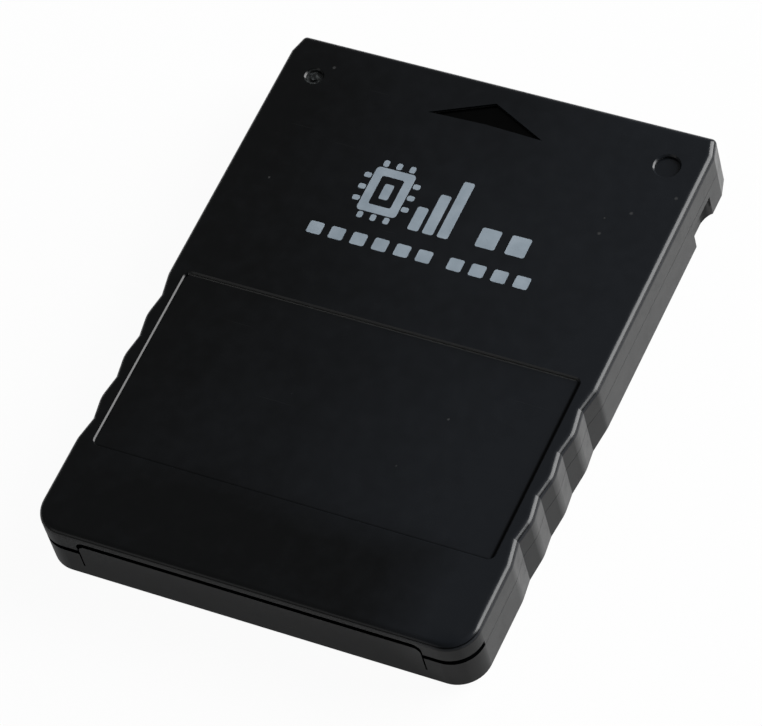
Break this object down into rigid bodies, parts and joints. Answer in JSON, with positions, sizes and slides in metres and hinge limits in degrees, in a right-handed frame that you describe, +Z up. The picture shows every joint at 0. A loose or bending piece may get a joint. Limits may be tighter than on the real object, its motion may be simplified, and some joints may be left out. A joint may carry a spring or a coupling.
{
  "type": "memory card",
  "caption": "Flat cartridge memory card with a snapped two-part case, wavy side grips, a label recess, side detent notches and edge contacts in a front window.",
  "frame": {"origin": "middle of the underside on the surface that the card lies on", "axes": "+Z up through the printed face, +Y towards the connector end, +X to the right"},
  "size_m": [0.042, 0.056, 0.007],
  "materials": {
    "case": "satin black moulded plastic",
    "board": "green solder mask over glass-epoxy board",
    "contact": "gold plated",
    "chip": "matt moulding compound",
    "lead": "tinned",
    "crystal": "plated metal lid",
    "capacitor": "fired ceramic",
    "resistor": "coated ceramic"
  },
  "bodies": {
    "root": {"top_shell": "case", "bottom_shell": "case", "circuit_board": "board", "contact_1": "contact", "contact_2": "contact", "contact_3": "contact", "contact_4": "contact", "contact_5": "contact", "contact_6": "contact", "contact_7": "contact", "contact_8": "contact", "flash_chip": "chip", "controller_chip": "chip", "voltage_regulator": "chip", "flash_leads": "lead", "controller_leads": "lead", "regulator_leads": "lead", "crystal": "crystal", "capacitor_1": "capacitor", "capacitor_2": "capacitor", "capacitor_3": "capacitor", "capacitor_4": "capacitor", "resistor_1": "resistor", "resistor_2": "resistor", "resistor_3": "resistor", "resistor_4": "resistor"}
  },
  "joints": []
}
